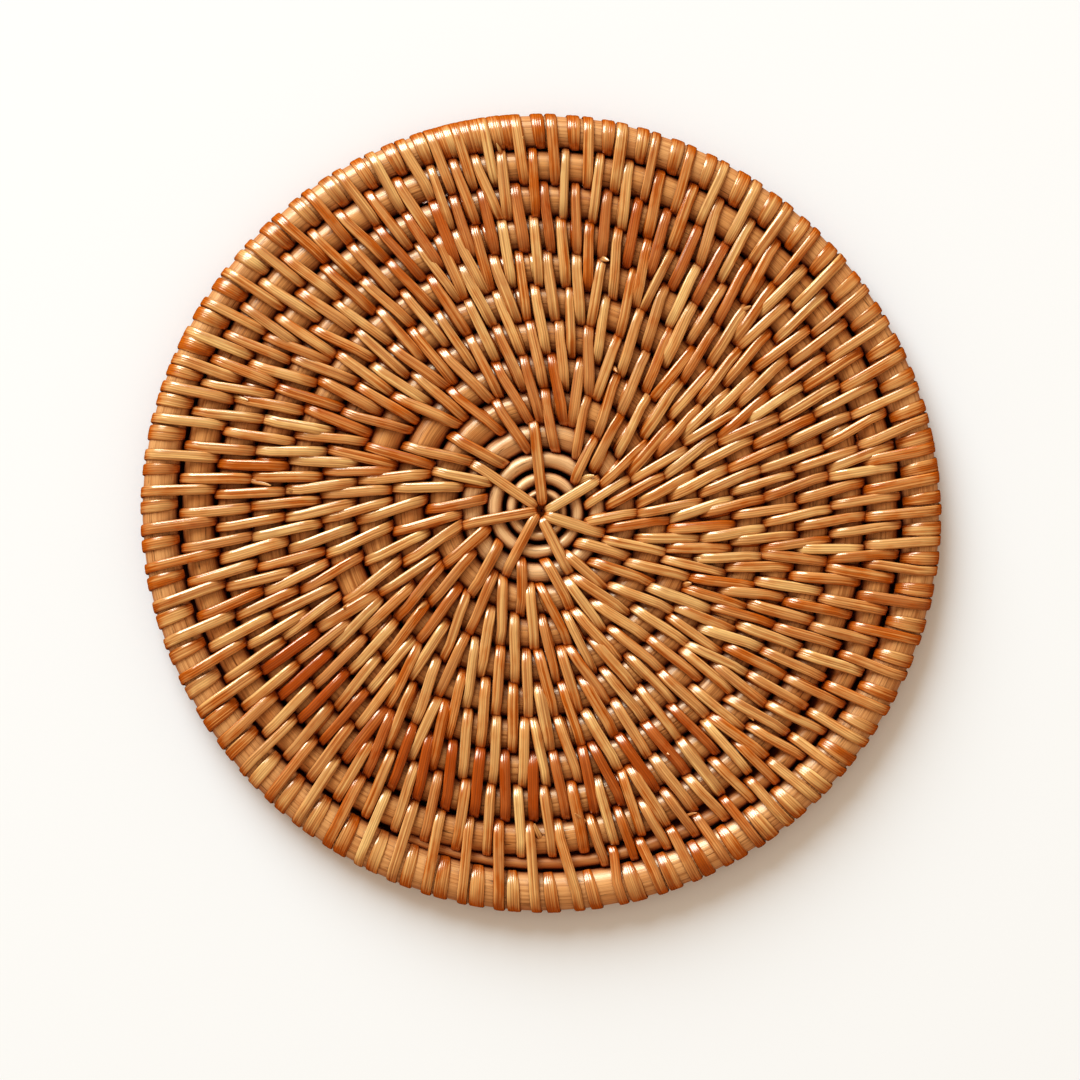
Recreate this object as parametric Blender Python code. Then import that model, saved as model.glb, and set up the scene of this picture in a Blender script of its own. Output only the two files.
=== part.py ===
"""A flat round trivet of coiled rattan, in metres, +Z up.

One long reed is wound into a flat spiral, from a thin start at the middle to a shaved
tail that dies away against the rim. The rim is a closed ring of thicker reed. Each
solid is the reed together with the strips that lash it, so its section is taller than
the bare reed by the strips above it and below it. The single stitches are not modelled.

The origin is on the underside, at the middle of the rim.
"""

import math

import bpy

# Driving dimensions.
DIAMETER = 0.180  # over the lashed rim
THICKNESS = 0.0090  # reed with the strips above it and below it
RIM_WIDTH = 0.0079  # radial width of the lashed rim
ROW_WIDTH = 0.0068  # radial width of one lashed turn of the coil
PITCH = 0.00762  # radial distance between turns
THIN_PITCH = 0.0044  # the same for the thin turns at the middle
FLAT_SHARE = 0.42  # flat on the top and underside, as a share of a section's width
SIDE_SHARE = 0.44  # upright side of a section, as a share of its height

# The rim is not quite round: an oval, longest along one direction, and four flat spots.
OVAL = 0.0039
OVAL_ANGLE = math.radians(143)
FLAT_SPOTS = 0.0029

# The coil runs inwards anticlockwise from the tip of its tail.
TAIL_TIP = math.radians(248)
TAIL_END = math.radians(360)
TAIL_TIP_SHARE = 0.25  # thickness left at the tip, as a share of the whole reed
TAIL_TAPER = 1.8  # over 1, the tail stays thin for longer before it fills out
TIP_EDGE = 0.0803  # radius of the tail's outer side at its tip
FULL_RADIUS = 0.0791  # radius of the winding where the tail reaches its full size
THICK_FROM = 0.0205  # outside this radius the reed has its full size
THIN_WITHIN = 0.0100  # inside this radius it has been split thin
THIN_SHARE = 0.52  # size of the split reed, as a share of the whole one
INNER_END = 0.0036  # radius at which the winding starts

# The winding's centre is not quite the rim's: (x, y) for outer and for inner turns. Nor is it quite round.
OUTER_SHIFT = (-0.0019, 0.0007)
INNER_SHIFT = (0.0, 0.0006)
SHIFT_OUTER_FROM = 0.057
SHIFT_INNER_WITHIN = 0.025
COIL_OVAL = 0.0003
COIL_OVAL_ANGLE = math.radians(82)

# Fineness of the solids.
COIL_STEP = 0.0070  # longest straight piece of the coil
COIL_TURN_STEP = math.radians(15)  # largest turn between two pieces
RIM_PIECES = 96

COIL_COLOUR = (0.56, 0.31, 0.13, 1.0)
RIM_COLOUR = (0.58, 0.30, 0.11, 1.0)


def ramp(value, low, high):
    """0 below low, 1 above high, and straight between them."""
    return min(max((value - low) / (high - low), 0.0), 1.0)


def mix(first, second, share):
    return first + (second - first) * share


def roundness(angle):
    """The factor that takes a circle to the rim's own outline."""
    return 1 + OVAL * math.cos(2 * (angle - OVAL_ANGLE)) + FLAT_SPOTS * math.cos(4 * angle)


def clear_scene():
    for item in list(bpy.data.objects):
        bpy.data.objects.remove(item, do_unlink=True)


def collection(name):
    made = bpy.data.collections.new(name)
    bpy.context.scene.collection.children.link(made)
    return made


def rattan(name, colour, roughness):
    material = bpy.data.materials.new(name)
    material.use_nodes = True
    shader = material.node_tree.nodes["Principled BSDF"]
    shader.inputs["Base Color"].default_value = colour
    shader.inputs["Roughness"].default_value = roughness
    shader.inputs["Metallic"].default_value = 0.0
    return material


def section_guide(name, width, guides):
    """The eight-sided section of a lashed reed, flat on top and underneath."""
    half_flat = width * FLAT_SHARE / 2
    half_side = THICKNESS * SIDE_SHARE / 2
    half_width = width / 2
    half_height = THICKNESS / 2
    corner = [(half_flat, half_height), (half_width, half_side)]
    right = corner + [(x, -y) for x, y in reversed(corner)]
    outline = right + [(-x, -y) for x, y in right]
    curve = bpy.data.curves.new(name, "CURVE")
    curve.dimensions = "2D"
    curve.fill_mode = "NONE"
    spline = curve.splines.new("POLY")
    spline.points.add(len(outline) - 1)
    for point, (x, y) in zip(spline.points, outline):
        point.co = (x, y, 0.0, 1.0)
    spline.use_cyclic_u = True
    guide = bpy.data.objects.new(name, curve)
    guide.hide_render = True
    guide.display_type = "WIRE"
    guides.objects.link(guide)
    return guide


def reed(name, path, closed, guide, material, parts):
    """A lashed reed along path, whose rows are (x, y, size as a share)."""
    curve = bpy.data.curves.new(name, "CURVE")
    curve.dimensions = "3D"
    curve.twist_mode = "Z_UP"
    curve.bevel_mode = "OBJECT"
    curve.bevel_object = guide
    curve.use_fill_caps = not closed
    spline = curve.splines.new("POLY")
    spline.points.add(len(path) - 1)
    for point, (x, y, size) in zip(spline.points, path):
        point.co = (x, y, THICKNESS / 2, 1.0)
        point.radius = size
    spline.use_cyclic_u = closed
    made = bpy.data.objects.new(name, curve)
    made.data.materials.append(material)
    parts.objects.link(made)
    return made


def rim_path():
    radius = DIAMETER / 2 - RIM_WIDTH / 2
    path = []
    for index in range(RIM_PIECES):
        angle = 2 * math.pi * index / RIM_PIECES
        along = radius * roundness(angle)
        path.append((along * math.cos(angle), along * math.sin(angle), 1.0))
    return path


def winding_shift(radius, angle):
    """How far a point of the winding lies outside a spiral round the rim's own centre."""
    outer = ramp(radius, SHIFT_INNER_WITHIN, SHIFT_OUTER_FROM)
    shift_x = mix(INNER_SHIFT[0], OUTER_SHIFT[0], outer)
    shift_y = mix(INNER_SHIFT[1], OUTER_SHIFT[1], outer)
    oval = COIL_OVAL * outer * math.cos(2 * (angle - COIL_OVAL_ANGLE))
    return shift_x * math.cos(angle) + shift_y * math.sin(angle) + oval


def place(radius, angle, size):
    """A point of the winding."""
    along = radius + winding_shift(radius, angle)
    return (along * math.cos(angle), along * math.sin(angle), size)


def tail_path():
    """The shaved tail, up to where it has its full size. Its outer side follows the rim."""
    joint_edge = FULL_RADIUS + winding_shift(FULL_RADIUS, TAIL_END) + ROW_WIDTH / 2
    pieces = math.ceil((TAIL_END - TAIL_TIP) * FULL_RADIUS / COIL_STEP)
    path = []
    for index in range(pieces):
        angle = mix(TAIL_TIP, TAIL_END, index / pieces)
        filled = (index / pieces) ** TAIL_TAPER
        size = mix(TAIL_TIP_SHARE, 1.0, filled)
        along = mix(TIP_EDGE, joint_edge, filled) - size * ROW_WIDTH / 2
        path.append((along * math.cos(angle), along * math.sin(angle), size))
    return path


def winding_path():
    """The turns from the end of the tail to the thin start at the middle."""
    radius = FULL_RADIUS
    angle = TAIL_END
    path = []
    while radius > INNER_END:
        thick = ramp(radius, THIN_WITHIN, THICK_FROM)
        path.append(place(radius, angle, mix(THIN_SHARE, 1.0, thick)))
        step = min(COIL_STEP / radius, COIL_TURN_STEP)
        radius -= mix(THIN_PITCH, PITCH, thick) * step / (2 * math.pi)
        angle += step
    return path


def main():
    clear_scene()
    parts = collection("rattan_trivet")
    guides = collection("section_guides")
    row_section = section_guide("row_section", ROW_WIDTH, guides)
    rim_section = section_guide("rim_section", RIM_WIDTH, guides)
    coil_material = rattan("coil_rattan", COIL_COLOUR, 0.55)
    rim_material = rattan("rim_rattan", RIM_COLOUR, 0.45)
    coil_path = tail_path() + winding_path()
    reed("coil", coil_path, False, row_section, coil_material, parts)
    reed("rim", rim_path(), True, rim_section, rim_material, parts)


main()
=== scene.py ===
"""A round trivet of coiled rattan: the reed, the rim, every strip of peel that lashes them, and the light."""

import math

import bmesh
import bpy
import numpy as np
from bpy.props import FloatProperty, FloatVectorProperty, PointerProperty
from bpy.types import Operator, Panel, PropertyGroup
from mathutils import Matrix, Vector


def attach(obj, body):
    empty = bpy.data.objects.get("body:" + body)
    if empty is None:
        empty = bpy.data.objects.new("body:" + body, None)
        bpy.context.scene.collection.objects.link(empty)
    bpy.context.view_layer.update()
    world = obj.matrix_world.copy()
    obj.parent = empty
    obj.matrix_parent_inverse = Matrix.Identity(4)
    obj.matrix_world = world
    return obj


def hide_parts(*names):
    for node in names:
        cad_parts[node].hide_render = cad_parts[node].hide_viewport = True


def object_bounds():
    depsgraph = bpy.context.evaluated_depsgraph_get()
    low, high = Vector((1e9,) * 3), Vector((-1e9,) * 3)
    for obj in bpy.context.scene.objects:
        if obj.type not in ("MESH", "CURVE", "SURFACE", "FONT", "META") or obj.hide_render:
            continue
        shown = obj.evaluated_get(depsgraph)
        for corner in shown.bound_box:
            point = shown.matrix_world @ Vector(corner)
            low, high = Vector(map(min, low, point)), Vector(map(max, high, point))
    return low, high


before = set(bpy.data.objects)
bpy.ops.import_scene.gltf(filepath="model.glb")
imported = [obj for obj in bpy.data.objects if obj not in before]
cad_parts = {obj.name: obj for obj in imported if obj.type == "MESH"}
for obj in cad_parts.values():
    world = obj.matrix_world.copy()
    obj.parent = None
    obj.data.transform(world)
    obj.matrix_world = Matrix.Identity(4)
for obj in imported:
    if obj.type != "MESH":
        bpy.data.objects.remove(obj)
CAD_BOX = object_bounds()

bl_info = {
    "name": "Coiled Rattan Trivet",
    "version": (1, 0, 0),
    "blender": (4, 5, 0),
    "location": "View3D > Sidebar > Rattan Trivet",
    "description": "Winds a rattan reed into a flat round trivet and lashes it with strips of peel",
    "category": "Add Mesh",
}

# The winding, nearly as the solids have it: metres, and degrees counted anticlockwise and inwards.
MIDDLE = (CAD_BOX[1].z + CAD_BOX[0].z) / 2
LOWEST = CAD_BOX[0].z + 0.0001  # the strips of the underside are pressed flat at this height
RIM_LINE = 0.0858  # radius of the rim reed's own centre line
OVAL = 0.0039  # the rim is a slight oval with four flat spots, as shares of its radius
OVAL_ANGLE = 143.0
FLAT_SPOTS = 0.0029
ROW_WIDTH = 0.0068
TAIL_TIP = 248.0
TAIL_END = 360.0
TAIL_TIP_SHARE = 0.37  # size left at the tip, as a share of the whole reed
TAIL_TAPER = 1.8  # over 1, the tail stays thin for longer before it fills out
TIP_EDGE = 0.0803  # radius of the tail's outer side at its tip
FULL_RADIUS = 0.0791  # radius of the winding where the tail reaches its full size
SECOND_TURN = TAIL_END + 360.0  # from here on, a whole turn of the coil lies outside
INNER_END = 0.0034  # radius at which the winding starts
OUTER_SHIFT = (-0.0019, 0.0007)  # centre of the outer turns, off the rim's
INNER_SHIFT = (0.0, 0.0006)  # and of the inner turns
SHIFT_OUTER_FROM = 0.057
SHIFT_INNER_WITHIN = 0.025
COIL_OVAL = 0.0003
COIL_OVAL_ANGLE = 82.0

# The outermost turn lies a little further out on one side: (turning angle, extra radius).
ROW_BULGE = ((450.0, 0.0), (520.0, 0.0004), (600.0, 0.0005), (636.0, 0.0004), (700.0, 0.0))

# The reed was split thinner and thinner towards its start at the middle:
# (radius, distance between turns, share of full size).
THIN_TURNS = (
    (0.0030, 0.0025, 0.27),
    (0.0055, 0.0032, 0.36),
    (0.0093, 0.0043, 0.45),
    (0.0120, 0.0048, 0.54),
    (0.0141, 0.0054, 0.66),
    (0.0170, 0.0062, 0.82),
    (0.0202, 0.0069, 0.93),
    (0.0240, 0.00762, 1.00),
)
TAIL_HEIGHT = 0.40  # the tail is shaved flat: this share of the whole height, or more
THIN_HEIGHT = 0.80  # a thin turn is split reed set on edge: this share of the whole height, or more
# The rim reed is flatter and wider where it passes the tail: (degrees, extra width on its inner side).
RIM_BULGE = (
    (0.0, 0.0008),
    (20.0, 0.0005),
    (40.0, 0.0),
    (150.0, 0.0),
    (180.0, 0.0005),
    (205.0, 0.0009),
    (225.0, 0.0013),
    (246.0, 0.0021),
    (268.0, 0.0013),
    (300.0, 0.0010),
    (360.0, 0.0008),
)

# The reeds as they are made: wound round, then pressed.
REED_SIDES = 18  # corners of a reed's section
REED_STEP = 0.0023  # longest straight piece of the coil
REED_TURN = math.radians(8.0)  # and its largest turn
RIM_TURN = 1.6  # degrees from one ring of the rim to the next
ROUND = 0.42  # radius of the reed as it is wound, as a share of its width
PRESSED_BELOW = 0.42  # below its middle a reed is pressed out to meet the next: from this share of its reach
THIN_PRESSED_BELOW = 0.75  # the same for the thin turns
TAIL_PRESSED_BELOW = 0.25  # and for the tail
RIM_PRESSED_IN = 0.0006  # how far past its half width the rim is pressed towards the coil
SWELLS = (0.021, 0.013, 0.0074)  # wavelengths of a reed's unevenness
SWELL = 0.016  # size of the unevenness, as a share of the reed's thickness

# The lashing.
STAR = (3628.0, 3579.0, 3534.0, 3480.0, 3430.0, 3385.0, 3334.5)  # where the first strips cross the reed
STAR_CENTRE = (0.00005, 0.00055)
STAR_WIDTHS = (0.62, 0.70, 0.84, 0.95, 1.0, 1.02, 1.04, 1.05, 1.05, 1.04, 1.03, 1.02, 0.98, 0.92, 0.84, 0.74)
# Where the strips that follow the star cross their own row.
FIRST_STRIPS = (3293.0, 3261.0, 3239.0, 3212.0, 3189.0, 3166.0, 3137.0, 3108.0, 3087.0, 3057.0,
                3038.0, 3018.0, 2991.0, 2967.0, 2947.0, 2930.0, 2913.0, 2896.0, 2876.0)
FIRST_DONE = 10  # heads, of the star and of these, that already have a foot beside them
LASHING_ENDS = 276.0  # the tail is too thin to be lashed past this angle
TURN_AT_ONCE = 9  # strips laid out together
EVENING_ROUNDS = 80  # how often the strips laid out together are moved towards even distances
BED_GAP = 0.00242  # between the middles of a strip and of the one that lies down beside it
BED_STRAY = 0.0001  # how much that varies
HEAD_STRAY = 0.00018  # how far a head lies off its even place
LEAN_PLAY = 0.0008  # how far a head may be pushed along its row to keep an even distance
FOOT_PLAY = 0.0013  # how far a foot may lie from its usual place beside a head
FOOT_GAP = 0.0022  # least distance between the middles of two feet, or of a foot and the next head
# Between a strip's two rows: (radius, sideways run of a strip for each metre along it).
LEANS = (
    (0.014, 0.22),
    (0.018, 0.31),
    (0.022, 0.28),
    (0.032, 0.25),
    (0.038, 0.21),
    (0.045, 0.17),
    (0.070, 0.13),
)
# Along a row: (radius, distance between strips).
SPACINGS = (
    (0.018, 0.0081),
    (0.0256, 0.0077),
    (0.0324, 0.0078),
    (0.039, 0.0071),
    (0.0465, 0.0067),
    (0.062, 0.0065),
    (0.070, 0.0068),
    (0.078, 0.0071),
)

# Angles round a row start at its outer side, and pass its top at 90 and its inner side at 180 degrees.
OVER = (-28.0, 206.0)  # a long strip on top: where it comes up outside its row, and dives inside the next
UNDER = (-34.0, -150.0)  # the same for one on the underside
WRAP_OVER = (-28.0, 208.0)  # a short wrap
RIM_OVER = (206.0, -152.0)  # a long strip of the rim, from inside the coil's row to under the rim
RIM_WRAP_OVER = (158.0, -206.0)  # a short wrap of the rim, round it and then under the coil's row

WRAP_RUN = 0.0022  # how far a short wrap runs along its row to either side of its middle, at this lean
WRAP_LEAN = 0.3
HEAD_RUN = 0.7  # how far a head runs on round its row, as a share of its straight course
WANDER = 0.00012  # how far its middle strays sideways
GROOVE = 0.14  # deepest groove along a strip's middle, as a share of its thickness
UNDER_FOOT_BACK = 0.0010  # how far a foot on the underside lies back from the one on top
UNDER_WRAP_RUN = 0.0020  # how far a short strip on the underside runs along its row

# The first strips dive into the middle hole.
STAR_OVER = (-30.0, 185.0)
STAR_RINGS = (6, 5, 4)
STAR_START_RUN = 0.0006  # how far along its row each starts
STAR_GROOVE = 0.1
HOLE_RADIUS = {1: 0.0029, -1: 0.0021}  # above, and on the underside
HOLE_REACH = 0.0010  # radius of the bend there
HOLE_HEIGHT = 0.0020  # and its height off the middle

# The rim's strips lean, and lie this far along the rim at each station on their way.
RIM_LEAN = 0.13  # sideways run for each metre along a strip
RIM_FOOT_RUN = 0.0008
RIM_TOP_RUN = -0.0003
RIM_END_RUN = 0.0015
RIM_WRAP_RUNS = (0.0007, 0.0016, 0.0022)

LONG_RINGS = (8, 3, 8)  # rings of a long strip: round its own row, between the rows, and round the next
WRAP_RINGS = 8
UNDER_WRAP_RINGS = 7
RIM_LONG_RINGS = (8, 3, 14)
RIM_WRAP_RINGS = (14, 3, 5)
# A long strip's width and thickness from head to foot: both ends narrow where they dive between rows.
LONG_WIDTHS = (0.60, 0.62, 0.70, 0.84, 0.95, *(1.0,) * 10, 0.97, 0.87, 0.74, 0.66, 0.62)
LONG_DEPTHS = (0.60, 0.60, 0.74, 0.90, *(1.0,) * 11, 0.97, 0.88, 0.74, 0.60, 0.60)
# The same for the rim's strips: (share of the way along, share of the full width or thickness).
RIM_LONG_WIDTHS = ((0.0, 0.60), (0.07, 0.68), (0.11, 0.82), (0.16, 0.95), (0.21, 1.0), (1.0, 1.0))
RIM_LONG_DEPTHS = ((0.0, 0.6), (0.1, 0.8), (0.2, 1.0), (0.45, 1.0), (0.65, 0.62), (1.0, 0.62))
RIM_WRAP_WIDTHS = ((0.0, 0.7), (0.1, 0.9), (0.2, 1.0), (0.7, 0.9), (1.0, 0.8))
RIM_WRAP_DEPTH = 0.62
UNDER_THICKNESS = 0.72  # of a strip pressed flat on the underside, as a share of the usual thickness
RIM_THICKNESS = 0.92  # of the strips round the rim, as a share of the usual thickness
WRAP_PLACES = (0.44, 0.30)  # of a rim's short wrap, from one long strip to the next: outside and inside
CROWDED = (92.0, 106.0)  # here the rim has two short wraps between long ones
CROWDED_PLACES = (0.33, 0.68)  # and these are their places from one long strip to the next

# Whole runs of redder peel: (turning angle from, to, how red).
RUDDY_RUNS = (
    (765.0, 845.0, 0.75),
    (925.0, 1030.0, 1.0),
    (2230.0, 2285.0, 0.45),
    (2590.0, 2645.0, 0.50),
    (2950.0, 3005.0, 0.50),
    (276.0, 300.0, 0.30),
)

# Peel across its width, as shares of the width and of the thickness: a strip that shows, and a hidden one.
PEEL_SECTION = (
    (0.50, 0.24),
    (0.475, 0.60),
    (0.40, 0.86),
    (0.22, 0.97),
    (0.00, 1.00),
    (-0.22, 0.97),
    (-0.40, 0.86),
    (-0.475, 0.60),
    (-0.50, 0.24),
    (-0.38, 0.00),
    (0.38, 0.00),
)
PLAIN_SECTION = (
    (0.50, 0.45),
    (0.28, 0.97),
    (-0.28, 0.97),
    (-0.50, 0.45),
    (-0.38, 0.00),
    (0.38, 0.00),
)

# Loose ends of peel: degrees, radius, bearing they point to, length, width, and how far their tips stand up.
LOOSE_ENDS = (
    (159.0, 0.0724, 340.0, 0.0042, 0.0010, 0.0008),
    (175.0, 0.0558, 150.0, 0.0030, 0.0014, 0.0008),
    (173.8, 0.0639, 348.0, 0.0062, 0.0012, 0.0006),
    (98.0, 0.0496, 265.0, 0.0026, 0.0013, 0.0006),
    (76.0, 0.0588, 330.0, 0.0024, 0.0014, 0.0009),
    (45.0, 0.0648, 20.0, 0.0030, 0.0011, 0.0010),
    (63.0, 0.0364, 300.0, 0.0022, 0.0012, 0.0010),
    (206.0, 0.0482, 200.0, 0.0022, 0.0020, 0.0012),
    (218.0, 0.0335, 230.0, 0.0030, 0.0011, 0.0008),
    (296.3, 0.0755, 23.0, 0.0034, 0.0008, 0.0010),
    (297.4, 0.0602, 315.0, 0.0028, 0.0011, 0.0009),
    (302.9, 0.0436, 320.0, 0.0026, 0.0010, 0.0008),
    (315.8, 0.0653, 318.0, 0.0030, 0.0009, 0.0006),
    (333.8, 0.0447, 20.0, 0.0020, 0.0014, 0.0007),
    (334.0, 0.0365, 10.0, 0.0022, 0.0015, 0.0005),
    (343.4, 0.0368, 15.0, 0.0026, 0.0018, 0.0004),
    (277.8, 0.0696, 130.0, 0.0050, 0.0010, 0.0016),
    (269.6, 0.0723, 117.0, 0.0056, 0.0016, 0.0004),
    (93.0, 0.0830, 75.0, 0.0034, 0.0009, 0.0010),
    (96.5, 0.0822, 110.0, 0.0030, 0.0010, 0.0008),
    (38.8, 0.0123, 30.0, 0.0050, 0.0019, 0.0004),
)
LOOSE_WIDTHS = (0.8, 0.9, 1.0, 1.0, 0.95, 0.85, 0.7, 0.5, 0.25)  # from the lashing to the tip
LOOSE_LIFT = 0.0002  # how high the slivers lie over the reed
LOOSE_SUNK = 0.0022  # how deep their other ends lie between the strips

# Seeds of the small irregularities.
REED_SEED = 3
RIM_SEED = 5
LAY_SEED = 11
STRIP_SEED = 21
WRAP_SEED = 31
STAR_SEED = 41
RIM_LASHING_SEED = 51
UNDERSIDE_SEED = 61
LOOSE_SEED = 71

# Painted shade: colours are darkened in crevices up to this distance from other surfaces.
CREVICE_SHADE_REACH = 0.0026  # how near another surface must be to darken a crevice
CAMERA_PLACE = (-0.0002, -0.00605, 0.682)  # it looks straight down
MM = 1000.0  # grain and maps count in millimetres


class TrivetSizes(PropertyGroup):
    """Sizes of the reed and of the peel."""

    reed_width: FloatProperty(
        name="Reed width", description="Width of the wound reed", default=0.0074, unit="LENGTH"
    )
    reed_height: FloatProperty(
        name="Reed height", description="Height of the wound reed", default=0.0066, unit="LENGTH"
    )
    rim_width: FloatProperty(
        name="Rim width", description="Bare diameter of the rim reed", default=0.0075, unit="LENGTH"
    )
    strip_width: FloatProperty(
        name="Strip width", description="Width of a strip of peel", default=0.0024, unit="LENGTH"
    )
    strip_thickness: FloatProperty(
        name="Strip thickness",
        description="Thickness of a strip at its middle",
        default=0.00100,
        unit="LENGTH",
    )
    wrap_thickness: FloatProperty(
        name="Wrap thickness",
        description="Thickness of a short wrap, pressed flat under the long one",
        default=0.00042,
        unit="LENGTH",
    )
    rim_wrap_width: FloatProperty(
        name="Rim wrap width", description="Width of a short wrap of the rim", default=0.0031, unit="LENGTH"
    )


class TrivetColours(PropertyGroup):
    """Colours of the peel and of the reed."""

    peel: FloatVectorProperty(
        name="Peel", description="Most of the strips",
        default=(0.65, 0.140, 0.002), subtype="COLOR", size=3,
    )
    pale_peel: FloatVectorProperty(
        name="Pale peel", description="The lightest strips",
        default=(1.0, 0.61, 0.235), subtype="COLOR", size=3,
    )
    ruddy_peel: FloatVectorProperty(
        name="Ruddy peel", description="The red-brown strips",
        default=(0.53, 0.094, 0.004), subtype="COLOR", size=3,
    )
    reed: FloatVectorProperty(
        name="Reed", description="The bare reed",
        default=(0.82, 0.38, 0.125), subtype="COLOR", size=3,
    )
    reed_grain: FloatVectorProperty(
        name="Reed grain", description="Dark fibres of the reed",
        default=(0.36, 0.095, 0.010), subtype="COLOR", size=3,
    )
    pale_reed: FloatVectorProperty(
        name="Pale reed", description="The split reed at the middle",
        default=(0.94, 0.56, 0.27), subtype="COLOR", size=3,
    )
    # Painted shade: colours deep between strips and rows are darkened towards this one, where shade falls.
    crevice_shade: FloatVectorProperty(
        name="Crevices", description="What is left of a colour deep between the strips",
        default=(0.25, 0.050, 0.007), subtype="COLOR", size=3,
    )


class TrivetStage(PropertyGroup):
    """Floor and light."""

    floor: FloatVectorProperty(
        name="Floor", description="Colour of the floor",
        default=(0.885, 0.885, 0.885), subtype="COLOR", size=3,
    )
    key_power: FloatProperty(name="Key power", description="Power of the softbox", default=312.0, min=0.0)
    key_colour: FloatVectorProperty(
        name="Key colour", description="Colour of the softbox",
        default=(0.74, 0.89, 1.0), subtype="COLOR", size=3,
    )
    key_size: FloatProperty(
        name="Key size", description="Width of the softbox", default=3.7, unit="LENGTH"
    )
    key_distance: FloatProperty(
        name="Key distance", description="From the trivet to the softbox", default=5.0, unit="LENGTH"
    )
    key_bearing: FloatProperty(
        name="Key bearing", description="Direction of the softbox, anticlockwise from +X", default=117.0
    )
    key_height: FloatProperty(
        name="Key height", description="Angle of the softbox above the floor", default=28.5
    )
    fill_colour: FloatVectorProperty(
        name="Fill colour", description="Colour of the light from all round",
        default=(1.0, 0.82, 0.64), subtype="COLOR", size=3,
    )
    fill_strength: FloatProperty(
        name="Fill strength", description="Light from all round", default=0.55, min=0.0
    )


# ---------------------------------------------------------------- the winding


def ramp(value, low, high):
    return np.clip((value - low) / (high - low), 0.0, 1.0)


def mix(first, second, share):
    return first + (second - first) * share


def cosine(degrees):
    return np.cos(np.radians(degrees))


def sine(degrees):
    return np.sin(np.radians(degrees))


def read_off(pairs, value):
    """The second number of the pairs, straight between them, where the first is this value."""
    return np.interp(value, *np.array(pairs).T)


def rim_bulge(degrees):
    """Extra width of the rim reed, all of it on the inner side."""
    return read_off(RIM_BULGE, np.asarray(degrees) % 360.0)


def rim_radius(degrees):
    """Radius of the rim reed's centre line."""
    round_off = OVAL * cosine(2 * (degrees - OVAL_ANGLE)) + FLAT_SPOTS * cosine(4 * degrees)
    return RIM_LINE * (1 + round_off) - rim_bulge(degrees) / 2


def winding_shift(radius, degrees):
    """How far the winding's own centre moves a point of it outwards."""
    outer = ramp(radius, SHIFT_INNER_WITHIN, SHIFT_OUTER_FROM)
    along_x = mix(INNER_SHIFT[0], OUTER_SHIFT[0], outer)
    along_y = mix(INNER_SHIFT[1], OUTER_SHIFT[1], outer)
    oval = COIL_OVAL * outer * cosine(2 * (degrees - COIL_OVAL_ANGLE))
    return along_x * cosine(degrees) + along_y * sine(degrees) + oval


def wind():
    """The coil's centre line: turning angle, radius and share of the full size, from the tail inwards."""
    turned = np.arange(TAIL_TIP, TAIL_END)
    filled = ramp(turned, TAIL_TIP, TAIL_END) ** TAIL_TAPER
    share = mix(TAIL_TIP_SHARE, 1.0, filled)
    joint_edge = FULL_RADIUS + winding_shift(FULL_RADIUS, TAIL_END) + ROW_WIDTH / 2
    radius = mix(TIP_EDGE, joint_edge, filled) - share * ROW_WIDTH / 2
    rows = [turned, radius, share]
    at, pitches, shares = np.array(THIN_TURNS).T
    angle, bare, inner = TAIL_END, FULL_RADIUS, []
    while bare > INNER_END:
        bulge = read_off(ROW_BULGE, angle)
        inner.append((angle, bare + winding_shift(bare, angle) + bulge, np.interp(bare, at, shares)))
        bare -= np.interp(bare, at, pitches) / 360.0
        angle += 1.0
    return [np.concatenate([row, column]) for row, column in zip(rows, np.array(inner).T)]


TURNED, RADII, SHARES = wind()
COIL_END = TURNED[-1]
STEPS = np.hypot(np.diff(RADII), RADII[1:] * math.radians(1.0))
LENGTHS = np.concatenate([[0.0], np.cumsum(STEPS)])


def row_radius(turned):
    return np.interp(turned, TURNED, RADII)


def row_share(turned):
    return np.interp(turned, TURNED, SHARES)


def row_reach(turned, reed_height):
    """Half the height of the coil's reed."""
    thinnest = np.where(turned < TAIL_END, TAIL_HEIGHT, THIN_HEIGHT)
    return mix(thinnest, 1.0, row_share(turned)) * reed_height / 2


def length_at(turned):
    """Length of the coil's reed from the tip of its tail."""
    return np.interp(turned, TURNED, LENGTHS)


def rim_length_at(degrees):
    return np.radians(degrees) * RIM_LINE


# ---------------------------------------------------------------- routes of the strips


class Reed:
    """The cut through a reed, with what a strip bends round: centre (radius, height), reach up, and width."""

    def __init__(self, radius, reach, height=MIDDLE, broad=1.0):
        self.radius = radius
        self.reach = reach
        self.height = height
        self.broad = broad

    def point(self, angle):
        """Radius and height of the place at this angle round the reed."""
        return self.radius + self.reach * self.broad * cosine(angle), self.height + self.reach * sine(angle)


def lean_over(outer, inner, side=1):
    """The angle at which a strip leaves one reed for the next, over them (1) or under them (-1)."""
    across = outer.radius - inner.radius
    rise = outer.height - inner.height
    apart = np.hypot(across, rise)
    return np.degrees(np.arctan2(rise, across) + side * np.arccos((inner.reach - outer.reach) / apart))


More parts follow.
